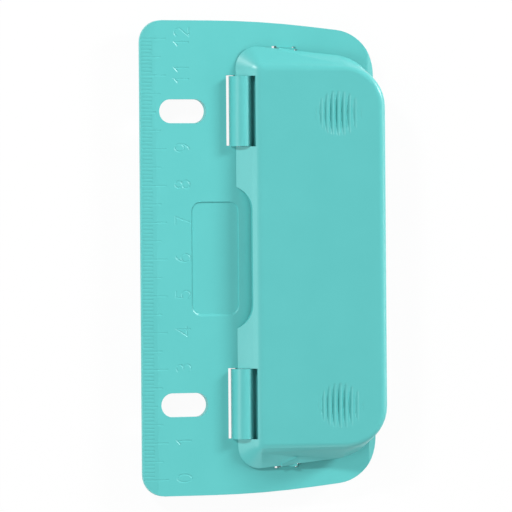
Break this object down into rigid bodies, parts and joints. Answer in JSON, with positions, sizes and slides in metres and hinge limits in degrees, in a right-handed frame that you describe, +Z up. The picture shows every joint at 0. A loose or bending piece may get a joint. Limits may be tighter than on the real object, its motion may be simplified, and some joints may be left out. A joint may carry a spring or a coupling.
{
  "type": "two-hole punch",
  "caption": "Flat ring-binder punch: ruler-edged base plate with binder slots, hinged press lever with thumb grips, sprung punch pins and a push-on chip tray.",
  "frame": {"origin": "middle of the part's footprint, on the surface that the chip tray rests on", "axes": "+X from the ruler edge towards the paper edge, +Y along the ruler from 0 to 12, +Z up out of the base plate"},
  "size_m": [0.0684, 0.1296, 0.0177],
  "materials": {
    "turquoise_plastic": "satin moulded polypropylene",
    "bright_steel": "bright zinc-plated sheet and ground pins",
    "spring_steel": "plain spring wire and blackened rings"
  },
  "bodies": {
    "base": {"base_plate": "turquoise_plastic", "upper_die_plate": "bright_steel", "upper_guide_bracket": "bright_steel", "upper_bracket_rivets": "spring_steel", "upper_return_spring": "spring_steel", "lower_die_plate": "bright_steel", "lower_guide_bracket": "bright_steel", "lower_bracket_rivets": "spring_steel", "lower_return_spring": "spring_steel"},
    "lever": {"press_lever": "turquoise_plastic", "upper_hinge_pin": "bright_steel", "lower_hinge_pin": "bright_steel"},
    "upper_pin": {"upper_punch_pin": "bright_steel", "upper_retaining_ring": "spring_steel"},
    "lower_pin": {"lower_punch_pin": "bright_steel", "lower_retaining_ring": "spring_steel"},
    "tray": {"chip_tray": "turquoise_plastic"}
  },
  "joints": [
    {"name": "lever_press", "type": "hinge", "parent": "base", "child": "lever", "pos_m": [-0.00535, 0, 0.0055], "axis": [0, 1, 0], "range_deg": [0, 6], "stiffness_Nm_per_rad": 1.5, "springref_deg": -5.73},
    {"name": "upper_pin_slide", "type": "slide", "parent": "base", "child": "upper_pin", "axis": [0, 0, -1], "range_m": [0, 0.003], "deforming": ["upper_return_spring"]},
    {"name": "lower_pin_slide", "type": "slide", "parent": "base", "child": "lower_pin", "axis": [0, 0, -1], "range_m": [0, 0.003], "deforming": ["lower_return_spring"]},
    {"name": "tray_off", "type": "slide", "parent": "base", "child": "tray", "axis": [0, 0, -1], "range_m": [0, 0.02]}
  ],
  "couplings": [
    {"joint": "upper_pin_slide", "follows": "lever_press", "m_per_rad": 0.02777},
    {"joint": "lower_pin_slide", "follows": "lever_press", "m_per_rad": 0.02777}
  ]
}
